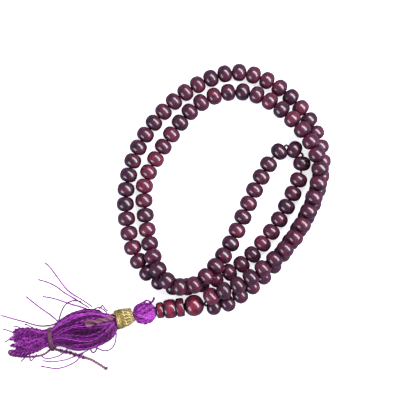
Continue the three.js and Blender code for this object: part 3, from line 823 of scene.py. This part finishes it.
SKIRT_LINE = MM * np.array([(-22.2, -48.9, 4.9), (-24.8, -50.2, 5), (-28, -51.6, 5.2), (-34, -52.7, 5.3),
                            (-40, -53.8, 5.2), (-46, -55.1, 4.7), (-50.4, -56.4, 4.2), (-55.2, -57.3, 3.9)])
SKIRT_RADII = MM * np.array([2.9, 4.8, 7.2, 9.0, 9.0, 7.0, 4.5, 4.0])
SKIRT_FLATS = np.array([0.8, 0.76, 0.66, 0.62, 0.62, 0.66, 0.76, 0.8])
SKIRT_THREADS = 210
SKIRT_LOCKS = 17
SKIRT_STEPS = 76
SKIRT_LOCK_WAVE = 0.20
SKIRT_CRIMP = 0.014
THREAD_RADIUS = 0.245 * MM


def wander(chance, count, share, cycles, size):
    """A smooth random wave for each of count threads: three sines of about this many cycles."""
    total = 0
    for part in (1.0, 0.6, 0.35):
        rate = 2 * np.pi * cycles / part ** 0.8 * chance.uniform(0.8, 1.25, (count, 1))
        total = total + part * np.sin(rate * share + chance.uniform(0, 2 * np.pi, (count, 1)))
    return size * total / 1.95


def silk_bundle(chance, spine, count, locks, steps, lock_wave, crimp, lowest):
    """Lines of threads in a tassel. A thread keeps its angle round the tassel but for its lock's
    wave, its own wave and a crimp. It rises from its place in the gathered neck to the skin and
    goes back, by the power 0.6 of sin (pi share)."""
    share = np.linspace(0, 1, steps)[None]
    turn = 2 * np.pi * (np.arange(count)[:, None] + chance.uniform(-0.5, 0.5, (count, 1))) / count
    lock = (turn / (2 * np.pi) * locks).astype(int)[:, 0] % locks
    turn = turn + wander(chance, locks, share[:1], 0.9, lock_wave)[lock]
    turn = turn + wander(chance, count, share, 1.6, 0.06)
    neck = np.sqrt(chance.uniform(0.45, 1.0, (count, 1)))
    layer = chance.choice((1.0, 0.91, 0.82), (count, 1), p=(0.45, 0.3, 0.25))
    body = layer + wander(chance, locks, share[:1], 1.4, 0.045)[lock]
    body = body + wander(chance, count, share, 2.5, 0.02)
    depth = neck + (body - neck) * np.clip(np.sin(np.pi * share), 0, 1) ** 0.6
    run = 36 * share + chance.uniform(0, 20, (count, 1))
    rate = 2 * np.pi / chance.uniform(1.5, 2.4, (count, 1))
    depth = depth + crimp * np.sin(rate * run)
    turn = turn + crimp * np.cos(rate * run + chance.uniform(0, 6, (count, 1)))
    return tassel_places(spine, share, turn, depth, lowest), lock


skirt_chance = np.random.default_rng(7)
skirt_spine = tassel_spine(SKIRT_LINE, SKIRT_RADII, SKIRT_FLATS)
skirt_lines, skirt_lock = silk_bundle(skirt_chance, skirt_spine, SKIRT_THREADS, SKIRT_LOCKS, SKIRT_STEPS,
                                      SKIRT_LOCK_WAVE, SKIRT_CRIMP, THREAD_RADIUS)
lock_tone = skirt_chance.uniform(0.25, 0.62, SKIRT_LOCKS)
skirt_tone = np.clip(lock_tone[skirt_lock] + skirt_chance.normal(-0.03, 0.26, SKIRT_THREADS), 0, 1)
skirt = thread_piece("skirt_threads", skirt_lines, THREAD_RADIUS, 6, SILK, skirt_tone)
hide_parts("tassel_skirt")
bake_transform(skirt)

# A twisted lock of maroon thread, which comes out of the binding and lies along the skirt.
MAROON = yarn_finish("maroon_cotton", (0.030, 0.006, 0.013, 1), (0.125, 0.026, 0.062, 1),
                     (0.30, 0.11, 0.18, 1), 14.0, 0.7, Sheen_Weight=0.15)
TWIST_ROUTE = MM * np.array([(-21.8, -47.6, 6.9), (-24.0, -47.9, 7.7), (-26.6, -48.4, 8.9),
                             (-29.6, -49.1, 10.0), (-32.8, -49.9, 10.6), (-36.4, -50.7, 10.7)])
TWIST_THREADS = 22
TWIST_TURNS = 3.4
TWIST_THREAD_RADIUS = 0.21 * MM
twist_line = evenly(smooth_route(TWIST_ROUTE, 20), 0.2 * MM)
twist_share = np.linspace(0, 1, len(twist_line))
ply = np.arange(TWIST_THREADS) % 2
ply_turn = 2 * np.pi * twist_share * TWIST_TURNS * (1 - 0.35 * twist_share) + np.pi * ply[:, None]
own_turn = ply_turn + 2 * np.pi * skirt_chance.uniform(0, 1, (TWIST_THREADS, 1))
ply_out = MM * (0.42 + 0.50 * twist_share ** 2)
own_out = MM * (0.40 + 0.55 * twist_share ** 2) * np.sqrt(skirt_chance.uniform(0.1, 1, (TWIST_THREADS, 1)))
twist_side = np.array((0.27, -0.96, 0.0))
twist_up = np.array((0.30, 0.09, 0.95))
twist_lines = (twist_line
               + (ply_out * np.cos(ply_turn) + own_out * np.cos(own_turn))[..., None] * twist_side
               + 0.75 * (ply_out * np.sin(ply_turn) + own_out * np.sin(own_turn))[..., None] * twist_up)
twist = thread_piece("skirt_twisted_lock", twist_lines, TWIST_THREAD_RADIUS, 6, MAROON,
                     skirt_chance.uniform(0.45, 1.0, TWIST_THREADS))
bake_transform(twist)

# Painted shade: the core under the skirt's threads takes tone 0, the silk's shadow colour, so the gaps
# between the locks look dark.
core_share, core_around = core_grid(1.0, 60, 60)
core_depth = 0.80 + 0.03 * np.sin(9 * core_around + 3 * core_share) + 0.02 * np.sin(23 * core_around)
core_places = tassel_places(skirt_spine, core_share, core_around, core_depth, THREAD_RADIUS)
skirt_shade_core = skin("skirt_shade_core", core_places[None], SILK)
mark(skirt_shade_core, "tone", np.zeros(core_share.size))
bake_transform(skirt_shade_core)


# ---------------------------------------------------------------------------------------------
# The lower tie: three turns of maroon cotton round the gathered end of the skirt, finished with a
# hard dark knot at the near side. Its two ends lie on the table.

TIE_TAILS = {
    "tie_tail_long": MM * np.array([
        (-51.4, -62.3, 0.7), (-47.8, -63.3, 0.7), (-43.9, -64.1, 0.7), (-38.8, -65.8, 0.7),
        (-34.2, -67.2, 0.7), (-30.5, -69.3, 0.7), (-27.2, -71.4, 0.7)]),
    "tie_tail_short": MM * np.array([
        (-53.4, -62.6, 0.7), (-55.5, -64.4, 0.7), (-59.3, -65.6, 0.7), (-65.3, -65.9, 0.7),
        (-70.8, -65.3, 0.7), (-72.6, -64, 0.9), (-71.9, -62.8, 1.1)]),
}
TIE_TURNS = 3
TIE_YARN_RADIUS = 0.37 * MM
TIE_LAY = 2.6 * MM
KNOT_YARN_RADIUS = 0.5 * MM
KNOT_LAY = 2.4 * MM
TAIL_RADIUS = {"tie_tail_long": 0.6 * MM, "tie_tail_short": 0.5 * MM}
tie_share = 0.909 + 0.017 * np.arange(TIE_TURNS)[:, None] + 0.003 * np.sin(around)
tie_depth = 1.04 + 0.015 * np.sin(3 * around + tie_share * 90)
tie_lines = tassel_places(skirt_spine, tie_share, around, tie_depth, 1.2 * TIE_YARN_RADIUS)
lower_tie = thread_piece("lower_tie_turns", tie_lines, TIE_YARN_RADIUS, 10, MAROON, (0.30, 0.40, 0.22),
                         TIE_LAY)
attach(lower_tie, "tassel_skirt")
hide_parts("lower_tie")

# The knot: one yarn carried round a trefoil, pulled small.
KNOT_CENTRE = MM * np.array((-52.2, -61.3, 1.9))
KNOT_SIZE = MM * np.array((0.62, 0.52, 0.42))
trip = 2 * np.pi * np.linspace(0, 1, 90)[None]
trefoil = np.stack([np.sin(trip) + 2 * np.sin(2 * trip), np.cos(trip) - 2 * np.cos(2 * trip),
                    -np.sin(3 * trip)], axis=-1)
tie_knot = thread_piece("lower_tie_knot", KNOT_CENTRE + trefoil * KNOT_SIZE, KNOT_YARN_RADIUS, 10, MAROON,
                        0.1, KNOT_LAY)
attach(tie_knot, "tassel_skirt")

tail_lines = {node: evenly(smooth_route(route, 20), 0.25 * MM) for node, route in TIE_TAILS.items()}
for node, tail_line in tail_lines.items():
    tail = thread_piece(node + "_yarn", tail_line[None], TAIL_RADIUS[node], 10, MAROON, 0.65, TIE_LAY)
    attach(tail, "tassel_skirt")
    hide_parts(node)

# The hard end of the long tail, and silk threads caught round it where it leaves the knot.
STOP_CENTRE = MM * np.array((-27.4, -71.2, 0.95))
STOP_SIZE = MM * np.array((0.22, 0.17, 0.14))
STOP_YARN_RADIUS = 0.42 * MM
stop = thread_piece("tie_tail_stop", STOP_CENTRE + trefoil * STOP_SIZE, STOP_YARN_RADIUS, 8, MAROON, 0.35)
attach(stop, "tassel_skirt")

WINDING_RADIUS = 0.80 * MM
WINDING_THREAD = 0.24 * MM
wind_run = np.linspace(0, 1, 60)[None]
wind_start = np.array([0.10, 0.20, 0.27, 0.36, 0.44, 0.52])[:, None]
long_tail = tail_lines["tie_tail_long"]
tail_share = np.linspace(0, 1, len(long_tail))
wind_share = wind_start + 0.05 * wind_run
wind_middle = np.stack([np.interp(wind_share, tail_share, along) for along in long_tail.T], axis=-1)
wind_turn = 2 * np.pi * 1.6 * wind_run + wind_start * 40
wind_out = np.stack([0.25 * np.cos(wind_turn), 0.95 * np.cos(wind_turn), np.sin(wind_turn)], axis=-1)
wind_lines = wind_middle + WINDING_RADIUS * wind_out
wind_lines[..., 2] = np.maximum(wind_lines[..., 2], WINDING_THREAD)
windings = thread_piece("tie_tail_windings", wind_lines, WINDING_THREAD, 6, SILK,
                        (0.3, 0.5, 0.4, 0.6, 0.35, 0.5))
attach(windings, "tassel_skirt")


# ---------------------------------------------------------------------------------------------
# The brush: the ends of the skirt's threads past the lower tie, crimped and cut to no one length,
# so that they spread into a ragged fan.

BRUSH_LINE = MM * np.array([(-54.6, -57.2, 3.9), (-56.8, -57.6, 3.7), (-59.4, -58, 3.4), (-63.5, -58.6, 3),
                            (-68, -59.3, 2.5), (-72.4, -59.6, 2)])
BRUSH_RADII = MM * np.array([3.7, 4.3, 5.2, 6.2, 6.2, 5.2])
BRUSH_FLATS = np.array([0.8, 0.7, 0.6, 0.52, 0.46, 0.42])
BRUSH_THREADS = 230
BRUSH_STEPS = 60
# The tips gather into locks: where one ends and the next starts across the brush, from its far
# side (-1) to its near side (1), the middle of each, and how far each one reaches.
BRUSH_LOCK_EDGES = np.array([-0.72, -0.30, 0.12, 0.46, 0.80])
BRUSH_LOCK_MIDDLES = np.array([-0.93, -0.52, -0.10, 0.30, 0.62, 0.95])
BRUSH_LOCK_ENDS = np.array([0.90, 1.0, 0.90, 0.98, 0.86, 0.99])

brush_chance = np.random.default_rng(19)
brush_spine = tassel_spine(BRUSH_LINE, BRUSH_RADII, BRUSH_FLATS)
brush_turn = brush_chance.uniform(0, 2 * np.pi, (BRUSH_THREADS, 1))
brush_lock = np.searchsorted(BRUSH_LOCK_EDGES, np.cos(brush_turn))
brush_end = BRUSH_LOCK_ENDS[brush_lock] * brush_chance.uniform(0.80, 1.0, (BRUSH_THREADS, 1))
share = np.linspace(0, 1, BRUSH_STEPS)[None] * brush_end
lock_turn = np.arccos(BRUSH_LOCK_MIDDLES[brush_lock]) * np.where(brush_turn > np.pi, -1, 1)
lock_turn = lock_turn + 2 * np.pi * (brush_turn > np.pi)
closing = 0.75 * np.clip((share - 0.62) / 0.36, 0, 1) ** 1.5
turn = brush_turn + (lock_turn - brush_turn) * closing
turn = turn + wander(brush_chance, BRUSH_THREADS, share, 1.5, 0.16)
depth = np.sqrt(brush_chance.uniform(0.35, 1.0, (BRUSH_THREADS, 1)))
depth = depth + wander(brush_chance, BRUSH_THREADS, share, 2.0, 0.05)
crimp_run = 18 * share + brush_chance.uniform(0, 9, (BRUSH_THREADS, 1))
crimp_rate = 2 * np.pi / brush_chance.uniform(1.3, 2.2, (BRUSH_THREADS, 1))
crimp_size = brush_chance.uniform(0.03, 0.07, (BRUSH_THREADS, 1)) * np.clip(4 * share, 0, 1)
depth = depth + crimp_size * np.sin(crimp_rate * crimp_run)
turn = turn + 1.2 * crimp_size * np.cos(crimp_rate * crimp_run)
brush_lines = tassel_places(brush_spine, share, turn, depth, THREAD_RADIUS)
brush_tone = np.clip(brush_chance.normal(0.50, 0.24, BRUSH_THREADS), 0.02, 1)
brush = thread_piece("brush_threads", brush_lines, THREAD_RADIUS, 6, SILK, brush_tone, SILK_LAY)
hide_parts("tassel_brush")
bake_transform(brush)

# Painted shade: the core inside the brush takes tone 0, the silk's shadow colour, so the gaps between its
# threads look dark.
core_share, core_around = core_grid(0.80, 40, 40)
core_depth = 0.72 + 0.05 * np.sin(11 * core_around + 5 * core_share)
core_depth = core_depth * np.clip(1.25 - core_share * 0.6, 0, 1)
core_places = tassel_places(brush_spine, core_share, core_around, core_depth, THREAD_RADIUS)
brush_shade_core = skin("brush_shade_core", core_places[None], SILK)
mark(brush_shade_core, "tone", np.zeros(core_share.size))
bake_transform(brush_shade_core)


# ---------------------------------------------------------------------------------------------
# Loose threads: silk threads that have worked out of the skirt and lie on the table, and shorter
# loops and hairs that stand off the tassel.

LOOSE_THREADS = {
    "loose_thread_1": [(-33.6, -42.6, 5), (-38, -39.8, 2.6), (-42, -37.4, 1), (-46, -34.4, 0.4),
                       (-50, -29.3, 0.3), (-53.7, -24.4, 0.3), (-56.2, -22.1, 0.3)],
    "loose_thread_2": [(-35.2, -43, 4.2), (-39.4, -40.6, 2), (-43.4, -38.2, 0.7), (-47.2, -36, 0.3),
                       (-50.6, -33.4, 0.3), (-54.6, -31.4, 0.3), (-59.3, -30, 0.3)],
    "loose_thread_3": [(-36.4, -43.6, 3.6), (-40.4, -42.4, 1.6), (-44.4, -41.3, 0.4), (-49.4, -39.6, 0.3),
                       (-53, -38.6, 0.3), (-57.1, -37.9, 0.3)],
    "loose_thread_4": [(-49.4, -49.6, 3.6), (-51.6, -47.8, 1.4), (-54, -46, 0.4), (-58.4, -43, 0.3),
                       (-62, -40.2, 0.3), (-64.8, -37.9, 0.3)],
    "loose_thread_5": [(-37.9, -64.2, 2.6), (-39.4, -66, 2.1), (-41.2, -67.9, 0.8), (-44, -69.5, 0.3),
                       (-47.4, -70.8, 0.3), (-50.8, -71.3, 0.3), (-54.4, -70.8, 0.3), (-57.8, -70.2, 0.3)],
    "loose_thread_6": [(-46.3, -47.4, 3.6), (-48.6, -48.9, 2.6), (-51, -50.6, 1.6), (-53.7, -51.3, 0.9),
                       (-57.4, -51.6, 0.5), (-61.1, -51, 0.3), (-64.9, -49.8, 0.3), (-70.4, -48.4, 0.3),
                       (-76.4, -46.7, 0.3)],
}
LOOSE_RADIUS = 0.33 * MM
for node, route in LOOSE_THREADS.items():
    thread_line = evenly(smooth_route(MM * np.array(route), 20), 0.3 * MM)
    thread = thread_piece(node + "_silk", thread_line[None], LOOSE_RADIUS, 8, SILK, 0.6, SILK_LAY)
    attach(thread, "tassel_skirt")
    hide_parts(node)

SKIRT_HAIRS = [
    [(-39.0, -40.3, 2.6), (-42.1, -39.8, 1.4), (-44.9, -40.6, 0.7), (-47.0, -42.5, 0.5),
     (-48.3, -45.3, 1.0), (-49.0, -48.0, 2.2), (-49.3, -50.0, 3.4)],
    [(-22.7, -53.9, 2.6), (-22.7, -56.4, 1.2), (-23.2, -59.4, 0.4), (-24.9, -62.1, 0.3),
     (-28.1, -63.1, 0.3), (-31.9, -61.6, 0.8), (-33.4, -60.3, 1.9)],
    [(-57.0, -67.7, 0.3), (-54.4, -68.0, 0.3), (-51.4, -68.1, 0.3), (-46.3, -67.3, 0.3),
     (-41.6, -65.6, 1.6), (-38.0, -64.0, 2.0), (-35.1, -62.4, 2.2)],
    [(-57.4, -65.0, 0.3), (-56.4, -66.3, 0.3), (-53.6, -66.6, 0.3), (-50.5, -65.9, 0.3),
     (-48.3, -64.9, 0.4), (-46.3, -63.3, 1.4), (-44.8, -61.8, 2.4)],
    [(-31.0, -59.6, 2.4), (-31.6, -61.6, 1.2), (-32.3, -63.4, 0.5), (-33.6, -63.9, 0.4),
     (-34.4, -62.7, 0.8), (-34.6, -61.0, 2.0), (-34.7, -59.8, 2.8)],
    [(-30.2, -43.6, 7.2), (-29.1, -42.6, 7.8), (-28.6, -42.0, 8.2), (-28.1, -42.5, 8.4),
     (-27.6, -43.4, 8.2), (-26.9, -44.0, 7.8), (-26.3, -44.6, 7.4)],
    [(-33.2, -44.2, 6.8), (-31.8, -43.5, 7.2), (-30.5, -43.0, 7.4), (-29.4, -43.2, 7.6),
     (-28.4, -43.8, 7.6), (-27.4, -44.6, 7.4), (-26.5, -45.4, 7.2)],
]
BRUSH_HAIRS = [
    [(-67.4, -54.4, 2.6), (-69.2, -54.8, 2.2), (-71.6, -54.2, 1.8), (-73.6, -53.4, 1.6),
     (-75.2, -53.2, 1.5)],
    [(-68.2, -57.4, 3.4), (-69.4, -57.5, 3.2), (-71.4, -57.6, 2.8), (-72.8, -58.2, 2.4),
     (-74.2, -59.1, 2.0)],
    [(-66.2, -52.7, 2.4), (-67.4, -52.4, 2.2), (-68.4, -51.9, 2.0), (-69.4, -51.7, 1.9),
     (-70.2, -51.8, 1.8)],
    [(-67.4, -59.6, 3.0), (-68.2, -59.5, 2.8), (-69.1, -59.7, 2.5), (-70.0, -60.1, 2.3),
     (-70.8, -60.4, 2.1)],
    [(-61.0, -52.4, 2.8), (-62.3, -51.9, 2.5), (-63.4, -51.3, 2.2), (-64.4, -50.9, 2.0),
     (-65.3, -50.8, 1.9)],
    [(-63.6, -64.4, 2.2), (-64.4, -65.6, 1.8), (-65.2, -66.5, 1.4), (-66.0, -67.3, 1.0),
     (-66.8, -68.0, 0.7)],
    [(-62.6, -64.4, 2.2), (-62.8, -65.6, 1.8), (-62.7, -66.6, 1.4), (-62.4, -67.4, 1.1),
     (-62.1, -67.9, 0.8)],
    [(-59.4, -64.6, 2.2), (-60.0, -65.6, 1.8), (-60.8, -66.5, 1.4), (-61.4, -67.2, 1.1),
     (-62.0, -67.7, 0.8)],
]


HAIR_RADIUS = 0.31 * MM


def hair_piece(name, routes, tones):
    """Fine threads along these routes, which are in millimetres."""
    lines = np.stack([smooth_route(MM * np.array(route), 10) for route in routes])
    piece = thread_piece(name, lines, HAIR_RADIUS, 7, SILK, tones, SILK_LAY)
    return piece


hair_chance = np.random.default_rng(3)
skirt_hairs = hair_piece("skirt_hairs", SKIRT_HAIRS, hair_chance.uniform(0.3, 0.7, len(SKIRT_HAIRS)))
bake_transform(skirt_hairs)
brush_hairs = hair_piece("brush_hairs", BRUSH_HAIRS, hair_chance.uniform(0.3, 0.7, len(BRUSH_HAIRS)))
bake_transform(brush_hairs)
